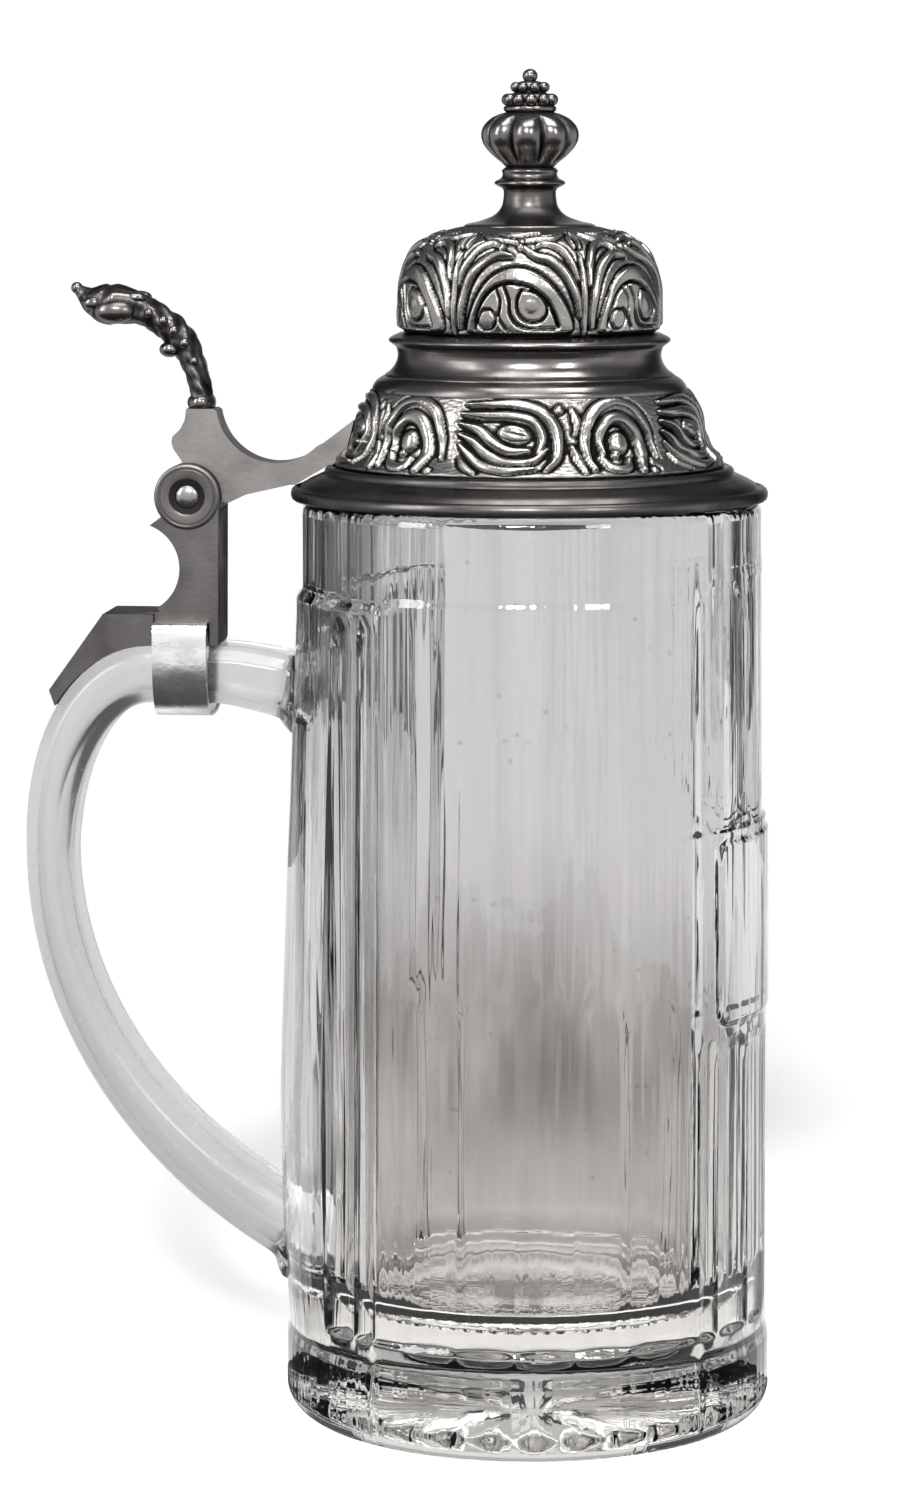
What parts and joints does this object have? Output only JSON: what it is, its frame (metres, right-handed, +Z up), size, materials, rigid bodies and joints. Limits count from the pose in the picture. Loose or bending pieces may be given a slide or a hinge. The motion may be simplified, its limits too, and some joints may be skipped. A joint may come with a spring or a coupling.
{
  "type": "lidded beer stein",
  "caption": "Tall panelled glass beer stein with a looped glass handle and a hinged, domed pewter lid worked by a thumblift.",
  "frame": {"origin": "centre of the foot, on the plane the stein stands on", "axes": "+Z up along the glass, +X towards the front and away from the handle, +Y across the handle"},
  "size_m": [0.1384, 0.0902, 0.2483],
  "materials": {
    "clear_glass": "clear pressed glass, fire-polished",
    "smooth_pewter": "turned pewter, worn to a soft shine",
    "cast_pewter": "cast pewter with darkened hollows",
    "bright_pewter": "polished pewter",
    "pin_steel": "plain drawn metal"
  },
  "bodies": {
    "stein": {"glass_body": "clear_glass", "glass_handle": "clear_glass", "hinge_shank": "smooth_pewter", "handle_band": "bright_pewter", "hinge_pin": "pin_steel", "pin_cap_left": "pin_steel", "pin_cap_right": "pin_steel"},
    "lid": {"lid_tang": "smooth_pewter", "thumblift": "cast_pewter", "lid_flange": "smooth_pewter", "lid_skirt": "cast_pewter", "lid_waist": "smooth_pewter", "lid_dome": "cast_pewter", "finial_foot": "smooth_pewter", "finial_knob": "cast_pewter", "finial_crown": "cast_pewter", "finial_stud": "pin_steel", "finial_nut": "pin_steel"}
  },
  "joints": [
    {"name": "lid_hinge", "type": "hinge", "parent": "stein", "child": "lid", "pos_m": [-0.0625, 0, 0.1705], "axis": [0, -1, 0], "range_deg": [0, 100]}
  ]
}
